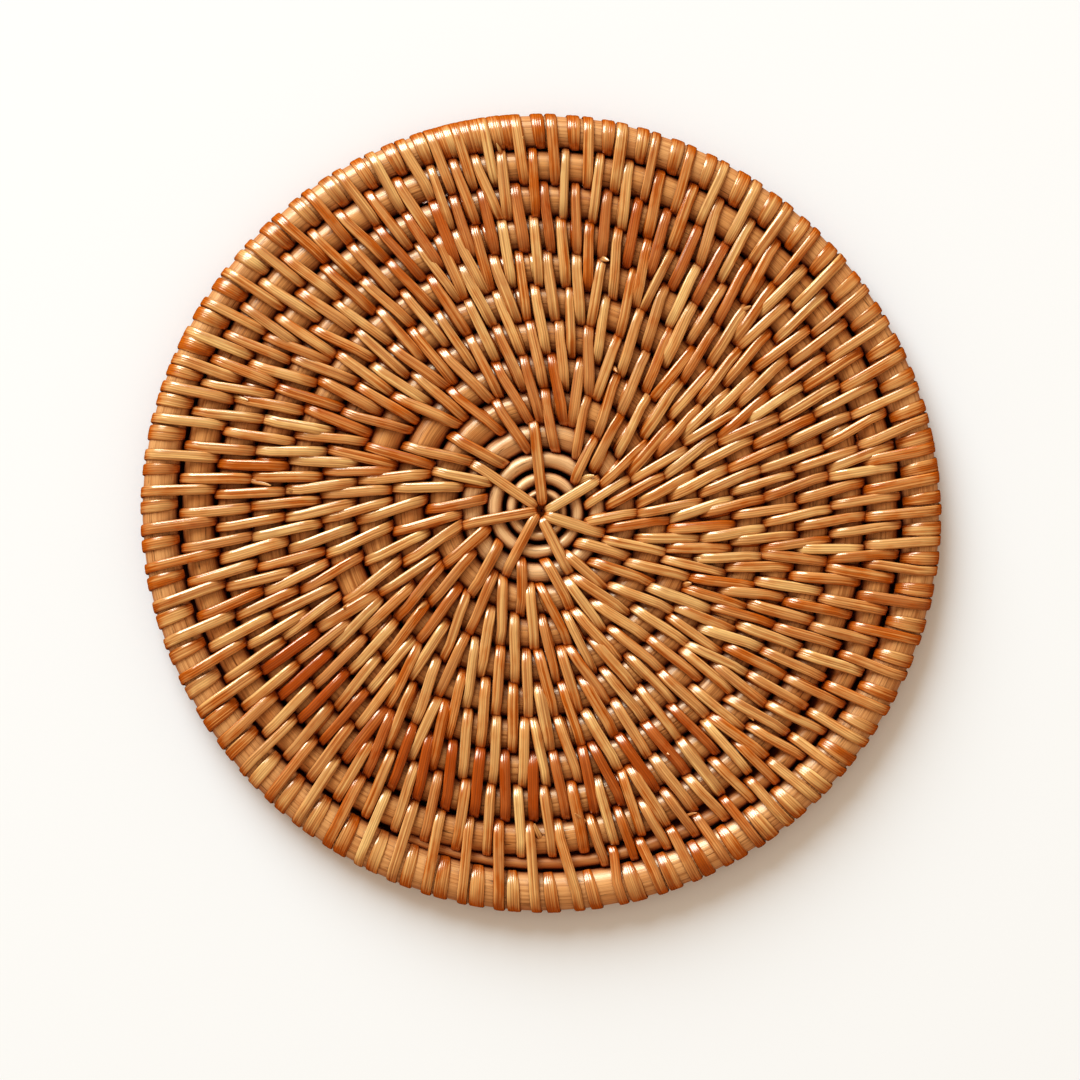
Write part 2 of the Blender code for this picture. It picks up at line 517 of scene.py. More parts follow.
def follow(base, stations):
    """Points of a strip's underside and its outward directions, one row a strip.

    A station is (reed, angle round it, place along the row, rings up to the next station).
    Between stations of one reed the strip bends round it, and between two reeds it is straight.
    """
    points, backs = [], []
    outward = np.stack([cosine(base), sine(base)], -1)
    sideways = np.stack([-sine(base), cosine(base)], -1)
    for number, (reed, angle, place, rings) in enumerate(stations):
        last = number == len(stations) - 1
        reed_2, angle_2, place_2, _ = stations[number if last else number + 1]
        for ring in range(1 if last else rings):
            share = ring / max(rings, 1)
            turned = mix(angle, angle_2, share) if reed is reed_2 else angle
            radius, height = reed.point(turned)
            if reed is not reed_2:
                radius_2, height_2 = reed_2.point(angle_2)
                radius, height = mix(radius, radius_2, share), mix(height, height_2, share)
            flat = outward * np.asarray(radius)[..., None]
            flat = flat + sideways * np.asarray(mix(place, place_2, share))[..., None]
            points.append(np.concatenate([flat, np.broadcast_to(height, base.shape)[..., None]], -1))
            level = outward * np.asarray(cosine(turned))[..., None]
            backs.append(np.concatenate([level, np.broadcast_to(sine(turned), base.shape)[..., None]], -1))
    return np.stack(points, 1), np.stack(backs, 1)


def unit(vectors):
    return vectors / np.linalg.norm(vectors, axis=-1, keepdims=True)


def frame_of(points, backs):
    """Directions across a strip and out of its back, at each ring."""
    along = unit(np.gradient(points, axis=1))
    across = unit(np.cross(backs, along))
    return across, np.cross(along, across)


# ---------------------------------------------------------------- meshes


def deselect_all():
    if bpy.context.object and bpy.context.object.mode != "OBJECT":
        bpy.ops.object.mode_set(mode="OBJECT")
    bpy.ops.object.select_all(action="DESELECT")


def straight_strip(name, rings, corners):
    """One straight strip of peel with cut ends, along +Z, with that many rings of corners."""
    deselect_all()
    bpy.ops.mesh.primitive_cylinder_add(vertices=corners, radius=0.5, depth=1.0, location=(0.0, 0.0, 0.5))
    strip = bpy.context.object
    strip.name = name
    bpy.ops.object.transform_apply(location=True, rotation=True, scale=True)
    bpy.ops.object.shade_smooth()
    bpy.ops.object.mode_set(mode="EDIT")
    bpy.ops.mesh.select_all(action="DESELECT")
    bpy.context.tool_settings.mesh_select_mode = (False, True, False)
    mesh = bmesh.from_edit_mesh(strip.data)
    for edge in mesh.edges:
        edge.select = edge.verts[0].co.z == edge.verts[1].co.z
    bmesh.update_edit_mesh(strip.data)
    bpy.ops.mesh.mark_sharp()
    for edge in mesh.edges:
        edge.select = edge.verts[0].co.z != edge.verts[1].co.z
    bmesh.update_edit_mesh(strip.data)
    bpy.ops.mesh.subdivide(number_cuts=rings - 2)
    bpy.ops.object.mode_set(mode="OBJECT")
    return strip


def corners_of(piece):
    return np.array([corner.co for corner in piece.data.vertices])


def copies_of(strip, count):
    """Copies the strip in place, that many times in all."""
    bpy.context.view_layer.objects.active = strip
    copies = strip.modifiers.new("copies", "ARRAY")
    copies.count = count
    copies.use_relative_offset = False
    bpy.ops.object.modifier_apply(modifier=copies.name)


def lay_strips(name, routes, widths, depths, looks, section=PEEL_SECTION, groove=0.0):
    """Copies a straight strip once for each route and bends each copy along its own route.

    Widths and depths have a row for each strip and a column for each ring. Groove is how deep the
    middle of each strip is sunk, as a share of its thickness.
    """
    points, backs = routes
    count, rings = points.shape[:2]
    strip = straight_strip(name, rings, len(section))
    straight = corners_of(strip)
    ring = np.rint(straight[:, 2] * (rings - 1)).astype(int)
    angle = np.degrees(np.arctan2(straight[:, 0], straight[:, 1]))
    corner = np.rint(angle / (360.0 / len(section))).astype(int) % len(section)
    shape = np.array(section)[::-1][corner]
    copies_of(strip, count)
    across, back = frame_of(points, backs)
    width = widths[:, ring] * shape[:, 0]
    sunk = np.where(shape[:, 0] == 0.0, 1.0, 0.0)[None] * np.reshape(groove, (-1, 1))
    lift = depths[:, ring] * (shape[:, 1] - sunk)
    placed = points[:, ring] + across[:, ring] * width[..., None] + back[:, ring] * lift[..., None]
    placed[..., 2] = np.maximum(placed[..., 2], LOWEST)
    mesh = strip.data
    mesh.vertices.foreach_set("co", placed.astype(np.float32).ravel())
    run = np.linalg.norm(np.diff(points, axis=1), axis=2).cumsum(1)
    run = np.concatenate([np.zeros((count, 1)), run], 1)[:, ring]
    grain = np.stack([width, lift, run], -1) * MM + looks["start"][:, None]
    spread(mesh, "grain", "FLOAT_VECTOR", grain.reshape(-1, 3))
    for look in ("tone", "ruddy"):
        spread(mesh, look, "FLOAT", np.repeat(looks[look], len(ring)))
    write_map(mesh, width.ravel() * MM, run.ravel() * MM)
    mesh.materials.append(material("rattan_peel", peel_material, bpy.context.scene.trivet_colours))
    mesh.update()
    return strip


def spread(mesh, name, kind, values):
    attribute = mesh.attributes.new(name, kind, "POINT")
    field = "vector" if kind == "FLOAT_VECTOR" else "value"
    attribute.data.foreach_set(field, np.asarray(values, np.float32).ravel())


def write_map(mesh, across, along):
    """The piece's UV map, in millimetres across and along."""
    while mesh.uv_layers:
        mesh.uv_layers.remove(mesh.uv_layers[0])
    layer = mesh.uv_layers.new(name="across_along")
    used = np.empty(len(mesh.loops), int)
    mesh.loops.foreach_get("vertex_index", used)
    layer.uv.foreach_set("vector", np.stack([across[used], along[used]], -1).astype(np.float32).ravel())


def reed_along(name, turned, radius, thickness, closed):
    """A round reed lying level along these turning angles and radii. Thickness is its own radius at each."""
    level, weight = np.full(len(turned), MIDDLE), np.ones(len(turned))
    places = [radius * cosine(turned), radius * sine(turned), level, weight]
    deselect_all()
    bpy.ops.curve.primitive_nurbs_path_add()
    made = bpy.context.object
    made.name = name
    curve = made.data
    curve.splines.clear()
    spline = curve.splines.new("POLY")
    spline.points.add(len(turned) - 1)
    spline.points.foreach_set("co", np.stack(places, -1).ravel())
    spline.points.foreach_set("radius", thickness)
    spline.use_cyclic_u = closed
    curve.twist_mode = "Z_UP"
    curve.bevel_depth = 1.0
    curve.bevel_resolution = (REED_SIDES - 4) // 2
    curve.use_fill_caps = not closed
    bpy.ops.object.convert(target="MESH")
    made = bpy.context.object
    bpy.ops.object.mode_set(mode="EDIT")
    bpy.ops.mesh.select_all(action="SELECT")
    bpy.ops.mesh.remove_doubles(threshold=0.000001)
    bpy.ops.object.mode_set(mode="OBJECT")
    bpy.ops.object.shade_smooth_by_angle(angle=math.radians(60.0))
    return made


def finish_piece(piece, slot, *nodes):
    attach(piece, "root")
    if nodes:
        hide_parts(*nodes)


# ---------------------------------------------------------------- where the strips go


def degrees_along(distance, turned):
    """Turning angle of a distance along the row, near this turning angle."""
    return np.degrees(distance / row_radius(turned))


def head_over(foot):
    """Where a strip with this foot crosses the next row outwards, if it has its usual lean."""
    inner, outer = row_radius(foot), row_radius(foot - 360.0)
    middle = (inner + outer) / 2
    lean = read_off(LEANS, middle)
    return foot - 360.0 + np.degrees(lean * (outer - inner) / middle)


def foot_under(head, heads):
    """Where a strip with this head crosses the next row inwards, clear of the heads that lie there."""
    inner, outer = row_radius(head + 360.0), row_radius(head)
    middle = (inner + outer) / 2
    foot = head + 360.0 - np.degrees(read_off(LEANS, middle) * (outer - inner) / middle)
    nearest = min(heads, key=lambda other: abs(other - foot))
    away = np.sign(foot - nearest) * degrees_along(BED_GAP, nearest)
    return foot if abs(foot - nearest) > abs(away) else nearest + away


def spacing_at(turned):
    """Turning angle from one strip to the next, near this turning angle."""
    return degrees_along(read_off(SPACINGS, row_radius(turned)), turned)


def lean_of(foot):
    """Turning angle from a strip's foot to its head, less the whole turn between them, at its usual lean."""
    return head_over(foot) - foot + 360.0


def even_out(heads, feet, beside, before):
    """Shifts a few strips along their rows until they keep an even distance and lean alike.

    A head may move a little to either side of its usual lean. A foot may move away from the head beside it,
    as far as the next one.
    """
    play = degrees_along(LEAN_PLAY, heads)
    nearest = feet.copy()
    room = np.append(np.inf, feet[:-1]) - degrees_along(FOOT_GAP, feet)
    room[1:] = np.minimum(room[1:], beside[:-1] - degrees_along(FOOT_GAP, feet[1:]))
    furthest = np.maximum(np.minimum(room, feet + degrees_along(FOOT_PLAY, feet)), nearest)
    usual = lean_of(feet)
    for _ in range(EVENING_ROUNDS):
        ahead = np.append(heads[1:], heads[-1] - spacing_at(heads[-1]))
        behind = np.insert(heads[:-1], 0, before)
        heads = np.clip((ahead + behind) / 2, feet - 360.0 + usual - play, feet - 360.0 + usual + play)
        feet = np.clip((feet + heads + 360.0 - usual) / 2, nearest, furthest)
    return heads, feet


def one_more(head, foot, beside, before):
    """Adds a strip where the heads are furthest apart. Its foot comes down beside the next one's foot."""
    gaps = -np.diff(head, prepend=before)
    at = int(np.argmax(gaps[1:] / spacing_at(head[1:]))) + 1
    head = np.insert(head, at, (head[at - 1] + head[at]) / 2)
    foot = np.insert(foot, at, foot[at] + degrees_along(FOOT_GAP, foot[at]))
    return head, foot, np.insert(beside, at, beside[at])


def lay_out_coil():
    """Heads and feet of the long strips, as turning angles, worked outwards from the star.

    A strip's head is where it crosses its own row, and its foot where it crosses the row inside that,
    close beside the head of an earlier strip. As the rows grow, more strips go in at the widest places.
    """
    rng = np.random.default_rng(LAY_SEED)
    heads = list(STAR + FIRST_STRIPS)
    feet = [foot_under(head, heads) for head in FIRST_STRIPS]
    done, owed = FIRST_DONE, 0.0
    while heads[-1] > LASHING_ENDS:
        beside = np.array(heads[done:done + TURN_AT_ONCE])
        done += len(beside)
        foot = beside + degrees_along(BED_GAP + rng.normal(0.0, BED_STRAY, len(beside)), beside)
        head = head_over(foot)
        owed += np.sum(-np.diff(head, prepend=heads[-1]) / spacing_at(head) - 1.0)
        while owed > 0.5 and len(head) > 1:
            head, foot, beside = one_more(head, foot, beside, heads[-1])
            owed -= 1.0
        head, foot = even_out(head, foot, beside, heads[-1])
        head += degrees_along(rng.normal(0.0, HEAD_STRAY, len(head)), head)
        heads.extend(head)
        feet.extend(foot)
    heads, feet = np.array(heads), np.array(feet)
    kept = heads > LASHING_ENDS
    return heads[kept], feet[kept[len(STAR):]]


def ruddiness(turned, rng):
    """How red-brown the strips are: whole runs of one length of peel, and a little everywhere."""
    deep = np.zeros(len(turned))
    for start, end, strength in RUDDY_RUNS:
        inside = (turned > start) & (turned < end)
        deep[inside] = np.maximum(deep[inside], strength * rng.uniform(0.65, 1.1, inside.sum()))
    slight = np.clip(rng.normal(0.10, 0.12, len(turned)), 0.0, 0.5)
    return np.clip(np.maximum(deep, slight), 0.0, 1.0)


def looks_of(turned, rng):
    """Each strip's own place in the grain, its tone, and how red-brown it is."""
    count = len(turned)
    return {
        "start": rng.uniform(0.0, 400.0, (count, 3)),
        "tone": np.clip(rng.normal(0.0, 0.45, count), -1.0, 1.0),
        "ruddy": ruddiness(np.asarray(turned), rng),
    }


def profile(shares, count, rng, spread_share):
    """Width or thickness at each ring, as shares of the full one, a little different on each strip."""
    return np.asarray(shares)[None] * (1.0 + rng.normal(0.0, spread_share, (count, 1)))


# ---------------------------------------------------------------- materials


class Shader:
    """A material's nodes, added one after the other."""

    def __init__(self, name):
        self.material = bpy.data.materials.new(name)
        self.material.use_nodes = True
        self.tree = self.material.node_tree
        self.surface = self.tree.nodes["Principled BSDF"]

    def add(self, kind, inputs=None, **settings):
        node = self.tree.nodes.new(kind)
        for field, value in settings.items():
            setattr(node, field, value)
        for socket, value in (inputs or {}).items():
            self.put(value, node.inputs[socket])
        return node

    def put(self, value, socket):
        if isinstance(value, bpy.types.NodeSocket):
            self.tree.links.new(value, socket)
        elif socket.type == "RGBA":
            socket.default_value = (*value, 1.0)
        else:
            socket.default_value = value

    def attribute(self, name, output):
        return self.add("ShaderNodeAttribute", attribute_name=name).outputs[output]

    def stretched(self, vector, scale):
        return self.add("ShaderNodeMapping", {"Vector": vector, "Scale": scale}).outputs["Vector"]

    def noise(self, vector, scale, detail=3.0, roughness=0.55):
        inputs = {
            "Vector": self.stretched(vector, scale),
            "Scale": 1.0,
            "Detail": detail,
            "Roughness": roughness,
        }
        return self.add("ShaderNodeTexNoise", inputs).outputs["Fac"]

    def ribs(self, vector, spacing, waver):
        """Fine ribs along a strip, that far apart and straying from straight by that many radians."""
        inputs = {
            "Vector": self.stretched(vector, (1.0, 1.0, 0.03)),
            "Scale": math.pi / (10.0 * spacing),
            "Distortion": waver,
            "Detail Scale": 1.5,
        }
        settings = {"wave_type": "BANDS", "bands_direction": "X", "wave_profile": "SIN"}
        return self.add("ShaderNodeTexWave", inputs, **settings).outputs["Fac"]

    def range(self, value, low, high, to_low=0.0, to_high=1.0, smooth=False):
        inputs = {"Value": value, "From Min": low, "From Max": high, "To Min": to_low, "To Max": to_high}
        kind = "SMOOTHSTEP" if smooth else "LINEAR"
        return self.add("ShaderNodeMapRange", inputs, interpolation_type=kind).outputs["Result"]

    def math(self, operation, first, *others):
        """Works on the first value with each of the others in turn."""
        for other in others or (0.0,):
            first = self.add("ShaderNodeMath", {0: first, 1: other}, operation=operation).outputs[0]
        return first

    def blend(self, share, first, second, blend_type="MIX"):
        node = self.add("ShaderNodeMix", data_type="RGBA", blend_type=blend_type)
        self.put(share, node.inputs["Factor"])
        self.put(first, [i for i in node.inputs if i.name == "A" and i.type == "RGBA"][0])
        self.put(second, [i for i in node.inputs if i.name == "B" and i.type == "RGBA"][0])
        return [o for o in node.outputs if o.type == "RGBA"][0]

    def set(self, **inputs):
        for name, value in inputs.items():
            self.put(value, self.surface.inputs[name.replace("_", " ")])


def paint_crevice_shade(shader, colour, colours, closed, opened):
    """Paints shade into a colour: darkens it deep between strips and rows, where other surfaces are near and
    shade falls.
    """
    openness = shader.add("ShaderNodeAmbientOcclusion", {"Distance": CREVICE_SHADE_REACH}, samples=6).outputs["AO"]
    openness = shader.range(openness, closed, opened, smooth=True)
    shade = shader.blend(openness, colours.crevice_shade, (1.0, 1.0, 1.0))
    return shader.blend(1.0, colour, shade, "MULTIPLY")


def crown_share(shader, low, high):
    """1 on the tops and underneath, falling to 0 at the sides: a mask by height, for painted light and shade
    and for roughness.
    """
    coordinates = shader.add("ShaderNodeTexCoord").outputs["Object"]
    height = shader.add("ShaderNodeSeparateXYZ", {"Vector": coordinates}).outputs["Z"]
    off_middle = shader.math("ABSOLUTE", shader.math("SUBTRACT", height, MIDDLE))
    return shader.range(off_middle, low, high, smooth=True)


def peel_material(colours):
    """The glossy outer skin of the cane: fine long fibres, streaks, and a tone of its own on each strip."""
    shader = Shader("rattan_peel")
    grain = shader.attribute("grain", "Vector")
    tone = shader.attribute("tone", "Fac")
    ruddy = shader.attribute("ruddy", "Fac")
    fibres = shader.noise(grain, (1.9, 1.9, 0.025), detail=2.0, roughness=0.6)
    hairs = shader.noise(grain, (6.0, 6.0, 0.12), detail=1.5)
    ribs = shader.ribs(grain, 0.50, 2.8)
    patches = shader.noise(grain, (0.35, 0.35, 0.16), detail=2.5)
    # Painted light and shade: the strips paler on their crowns, and darker and redder at their sides, as the
    # light falls.
    painted_crown_light = crown_share(shader, 0.0018, 0.0042)
    paleness = shader.math(
        "ADD",
        shader.range(fibres, 0.35, 0.65, -0.20, 0.40),
        shader.range(tone, -1.0, 1.0, -0.15, 0.55),
        shader.range(patches, 0.35, 0.65, -0.25, 0.20),
        shader.range(painted_crown_light, 0.0, 1.0, -0.36, 0.20),
    )
    colour = shader.blend(paleness, colours.peel, colours.pale_peel)
    reddened = shader.range(patches, 0.52, 0.75, -0.05, 0.35)
    redness = shader.math("ADD", ruddy, reddened, shader.range(painted_crown_light, 0.0, 1.0, 0.05, 0.0))
    colour = shader.blend(redness, colour, colours.ruddy_peel)
    lines = shader.math(
        "MULTIPLY",
        shader.range(ribs, 0.0, 1.0, 0.80, 1.05),
        shader.range(fibres, 0.36, 0.58, 0.84, 1.05),
        shader.range(hairs, 0.3, 0.65, 0.90, 1.04),
    )
    grey = shader.add("ShaderNodeCombineColor", {"Red": lines, "Green": lines, "Blue": lines}).outputs[0]
    colour = shader.blend(1.0, colour, grey, "MULTIPLY")
    bump = shader.add("ShaderNodeBump", {"Strength": 0.5, "Distance": 0.00016, "Height": lines})
    shader.set(
        # painted shade: the peel's colour darkened in the crevices between strips and rows
        Base_Color=paint_crevice_shade(shader, colour, colours, 0.12, 0.78),
        Roughness=shader.range(fibres, 0.35, 0.65, 0.28, 0.20),
        Normal=bump.outputs["Normal"],
        IOR=2.3,
        Specular_Tint=(1.0, 0.84, 0.66),
    )
    return shader.material


def reed_material(colours):
    """The bare reed, glossy on its crown and dull at its sides, paler where it is split thin.

    It has long fibres, a few cracks and blotches of stain, and painted shade darkening it away from its
    crown.
    """
    shader = Shader("rattan_reed")
    grain = shader.attribute("grain", "Vector")
    pale = shader.attribute("pale", "Fac")
    brown = shader.attribute("brown", "Fac")
    fibres = shader.noise(grain, (2.2, 2.2, 0.035), detail=3.0, roughness=0.65)
    hairs = shader.noise(grain, (6.0, 6.0, 0.10), detail=2.0)
    cracks = shader.noise(grain, (0.9, 0.9, 0.02), detail=1.0)
    patches = shader.noise(grain, (0.22, 0.22, 0.10), detail=3.0)
    colour = shader.blend(pale, colours.reed, colours.pale_reed)
    fine = shader.range(hairs, 0.48, 0.75, 0.0, 0.30)
    lines = shader.math("ADD", shader.range(fibres, 0.46, 0.68, 0.0, 0.75), fine)
    lines = shader.math("MULTIPLY", lines, shader.range(pale, 0.0, 1.0, 1.0, 0.55))
    colour = shader.blend(lines, colour, colours.reed_grain)
    off_crack = shader.math("ABSOLUTE", shader.math("SUBTRACT", cracks, 0.5))
    crack = shader.range(off_crack, 0.0, 0.011, 1.0, 0.0)
    crack = shader.math("MULTIPLY", crack, shader.range(patches, 0.42, 0.52, 0.0, 0.9))
    colour = shader.blend(crack, colour, [c * 0.25 for c in colours.reed_grain])
    # Painted shade: the reed darker away from its crown, as the light falls; added to the real blotches of
    # stain.
    sides = shader.range(crown_share(shader, 0.0012, 0.0031), 0.0, 1.0, 0.55, 0.0)
    stain_and_side_shade = shader.math("ADD", shader.range(patches, 0.45, 0.75, 0.0, 0.45), sides)
    stain_and_side_shade = shader.math("MULTIPLY", stain_and_side_shade, shader.range(pale, 0.0, 1.0, 1.0, 0.35))
    colour = shader.blend(stain_and_side_shade, colour, [c * 0.8 for c in colours.peel])
    colour = shader.blend(brown, colour, colours.ruddy_peel)
    height = shader.math("SUBTRACT", shader.range(fibres, 0.35, 0.70, 0.0, -0.6), crack)
    bump = shader.add("ShaderNodeBump", {"Strength": 0.4, "Distance": 0.00007, "Height": height})
    rough = shader.range(fibres, 0.3, 0.7, 0.26, 0.36)
    rough = shader.math("SUBTRACT", rough, shader.math("MULTIPLY", brown, 0.1))
    dull = shader.range(crown_share(shader, 0.0016, 0.0029), 0.0, 1.0, 0.3, 0.0)
    roughness = shader.math("MINIMUM", shader.math("ADD", rough, dull), 0.9)
    shader.set(
        # painted shade: the reed's colour darkened in the crevices between strips and rows
        Base_Color=paint_crevice_shade(shader, colour, colours, 0.20, 0.72),
        Roughness=roughness,
        Normal=bump.outputs["Normal"],
        IOR=2.0,
        Specular_Tint=(1.0, 0.79, 0.57),
    )
    return shader.material


def floor_material(stage):
    shader = Shader("pale_floor")
    coordinates = shader.add("ShaderNodeTexCoord").outputs["Object"]
    mottle = shader.noise(coordinates, (6.0, 6.0, 6.0), detail=2.0)
    colour = shader.blend(mottle, stage.floor, [c * 0.995 for c in stage.floor])
    shader.set(Base_Color=colour, Roughness=0.9, Specular_IOR_Level=0.1)
    return shader.material


def material(name, make, *arguments):
    return bpy.data.materials.get(name) or make(*arguments)


# ---------------------------------------------------------------- the pieces


def turned_at(places):
    """The turning angle of the coil at each of these places, from the row that is nearest for its size."""
    radius = np.hypot(places[:, 0], places[:, 1])
    angle = np.degrees(np.arctan2(places[:, 1], places[:, 0])) % 360.0
    turns = np.arange(0, int(COIL_END // 360) + 2)
    options = angle[:, None] + 360.0 * turns[None]
    off = np.abs(row_radius(options) - radius[:, None]) / row_share(options)
    off[(options < TAIL_TIP - 2.0) | (options > COIL_END + 20.0)] = 1.0
    return np.take_along_axis(options, off.argmin(1)[:, None], 1)[:, 0]


def uneven(places, seed):
    """A smooth unevenness over these places, about as large as a reed swells."""
    rng = np.random.default_rng(seed)
    waves = 4
    total = np.zeros(len(places))
    for wavelength in SWELLS:
        for _ in range(waves):
            direction = unit(rng.normal(size=3))
            total += np.sin(places @ direction * (2 * math.pi / wavelength) + rng.uniform(0.0, 6.28))
    return SWELL * total / (waves * len(SWELLS)) ** 0.5


def shape_reed(piece, at, radius_of, length_of, stretch, fill, depth, seed):
    """Stretches a round reed to its real section, makes it a little uneven, and writes its grain.

    The stretch is (across, up). Below the reed's middle, at that depth as a share of its reach, it is pressed
    out to the half widths in fill, (outwards, inwards), so that rows meet.
    """
    places = corners_of(piece)
    outward = np.stack([cosine(at), sine(at)], -1)
    out = (places[:, :2] * outward).sum(1) - radius_of(at)
    up = places[:, 2] - MIDDLE
    swell = 1.0 + uneven(places, seed)
    reach = np.hypot(out, up)
    widened = out * swell * stretch[0]
    pressed = np.where(out > 0.0, fill[0], fill[1]) * np.clip(out * 3.0 / reach, -1.0, 1.0)
    share = ramp(-up / reach, depth, depth + 0.1) * (np.abs(pressed) > np.abs(widened))
    widened = mix(widened, pressed, share)
    places[:, :2] += outward * (widened - out)[:, None]
    places[:, 2] += up * (swell * stretch[1] - 1.0)
    piece.data.vertices.foreach_set("co", places.astype(np.float32).ravel())
    grain = np.stack([out, up, length_of(at)], -1) * MM
    spread(piece.data, "grain", "FLOAT_VECTOR", grain)
    write_map(piece.data, np.degrees(np.arctan2(up, out)) / 10.0, grain[:, 2])
    piece.data.materials.clear()
    piece.data.materials.append(material("rattan_reed", reed_material, bpy.context.scene.trivet_colours))


class MESH_OT_trivet_reed(Operator):
    """Wind the bare reed into its flat coil"""

    bl_idname = "mesh.trivet_reed"
    bl_label = "Coiled reed"

    def execute(self, context):
        sizes = context.scene.trivet_sizes
        turned = [TAIL_TIP]
        while turned[-1] < COIL_END:
            step = min(REED_STEP / float(row_radius(turned[-1])), REED_TURN)
            turned.append(turned[-1] + math.degrees(step))
        turned = np.array(turned)
        thickness = row_share(turned) * sizes.reed_width * ROUND
        piece = reed_along("coil_reed", turned, row_radius(turned), thickness, False)
        at = turned_at(corners_of(piece))
        share = row_share(at)
        spread(piece.data, "pale", "FLOAT", np.where(at > SECOND_TURN, 1.0 - ramp(share, 0.68, 0.99), 0.0))
        spread(piece.data, "brown", "FLOAT", 0.12 * (1.0 - ramp(at, 290.0, 320.0)))
        half = share * sizes.reed_width / 2
        round_reed = share * sizes.reed_width * ROUND
        stretch = half / round_reed, row_reach(at, sizes.reed_height) / round_reed
        beside_rim = rim_radius(at) - sizes.rim_width / 2 + half
        outer = np.where(at > SECOND_TURN, row_radius(at - 360.0), beside_rim)
        inner = np.where(at < COIL_END - 360.0, row_radius(at + 360.0), 0.0)
        fill = np.maximum((outer - row_radius(at)) / 2, half), np.maximum((row_radius(at) - inner) / 2, half)
        depth = mix(THIN_PRESSED_BELOW, PRESSED_BELOW, ramp(share, 0.65, 0.9))
        depth = np.where(at < TAIL_END, TAIL_PRESSED_BELOW, depth)
        shape_reed(piece, at, row_radius, length_at, stretch, fill, depth, REED_SEED)
        finish_piece(piece, "coil_rattan", "coil")
        return {"FINISHED"}


class MESH_OT_trivet_rim(Operator):
    """Bend the rim reed into its ring"""

    bl_idname = "mesh.trivet_rim"
    bl_label = "Rim reed"

    def execute(self, context):
        sizes = context.scene.trivet_sizes
        turned = np.arange(0.0, 360.0, RIM_TURN)
        thickness = np.full(len(turned), sizes.rim_width / 2)
        piece = reed_along("rim_reed", turned, rim_radius(turned), thickness, True)
        places = corners_of(piece)
        at = np.degrees(np.arctan2(places[:, 1], places[:, 0])) % 360.0
        spread(piece.data, "pale", "FLOAT", np.full(len(places), 0.25))
        spread(piece.data, "brown", "FLOAT", np.zeros(len(places)))
        half = (sizes.rim_width + rim_bulge(at)) / 2
        stretch = half / (sizes.rim_width / 2), 1.0
        fill = 0.0, half + RIM_PRESSED_IN
        shape_reed(piece, at, rim_radius, rim_length_at, stretch, fill, PRESSED_BELOW, RIM_SEED)
        finish_piece(piece, "rim_rattan", "rim")
        return {"FINISHED"}


def coil_reed_at(turned, sizes, under=0.0):
    """The coil's section at this turning angle, with something of that thickness already on it."""
    reach = row_reach(turned, sizes.reed_height) + under
    return Reed(row_radius(turned), reach, broad=(row_share(turned) * sizes.reed_width / 2 + under) / reach)


def rim_reed_at(degrees, sizes):
    """The rim's section at these angles."""
    broad = 1.0 + rim_bulge(degrees) / sizes.rim_width
    return Reed(rim_radius(degrees), sizes.rim_width / 2, broad=broad)


def long_routes(heads, feet, sizes, rng, side=1):
    """Routes of long strips over (1) or under (-1) two rows, from the gap outside them to the gap inside."""
    apart = (feet % 360.0 - heads % 360.0 + 180.0) % 360.0 - 180.0
    base = heads % 360.0 + apart / 2
    outer = coil_reed_at(heads, sizes)
    inner = coil_reed_at(feet, sizes, sizes.wrap_thickness)
    head_place = outer.radius * sine(heads - base)
    foot_place = inner.radius * sine(feet - base)
    outer.radius = outer.radius * cosine(heads - base)
    inner.radius = inner.radius * cosine(feet - base)
    leaving = lean_over(outer, inner, side)
    slope = (head_place - foot_place) / (outer.radius - inner.radius)
    start, end = OVER if side > 0 else UNDER
    head_run = np.radians(np.abs(leaving - start)) * outer.reach * slope * HEAD_RUN
    foot_run = np.radians(np.abs(end - leaving)) * inner.reach * slope
    wander = rng.normal(0.0, WANDER, len(heads))
    stations = [
        (outer, start, head_place + head_run, LONG_RINGS[0]),
        (outer, leaving, head_place + wander, LONG_RINGS[1]),
        (inner, leaving, foot_place + wander, LONG_RINGS[2]),
        (inner, end, foot_place - foot_run, 0),
    ]
    return follow(base, stations)


def short_routes(turned, sizes, ends, places, rings):
    """Routes round one row of the coil, from one angle round it to another."""
    row = coil_reed_at(turned, sizes)
    return follow(turned % 360.0, [(row, ends[0], places[0], rings), (row, ends[1], places[1], 0)])


class MESH_OT_trivet_lashing(Operator):
    """Lash the coil with long strips, each over its own row and the row inside it"""

    bl_idname = "mesh.trivet_lashing"
    bl_label = "Long strips"

    def execute(self, context):
        sizes = context.scene.trivet_sizes
        heads, feet = lay_out_coil()
        heads = heads[len(STAR):]
        rng = np.random.default_rng(STRIP_SEED)
        turn = ((heads - LASHING_ENDS) // 360.0).astype(int)
        for number in sorted(set(turn)):
            head, foot = heads[turn == number], feet[turn == number]
            count = len(head)
            routes = long_routes(head, foot, sizes, rng)
            widths = profile(LONG_WIDTHS, count, rng, 0.06) * sizes.strip_width
            depths = profile(LONG_DEPTHS, count, rng, 0.08) * sizes.strip_thickness
            groove = rng.uniform(0.0, GROOVE, count)
            name = f"long_strips_{number:02d}"
            strip = lay_strips(name, routes, widths, depths, looks_of(head, rng), groove=groove)
            finish_piece(strip, "coil_rattan")
        return {"FINISHED"}


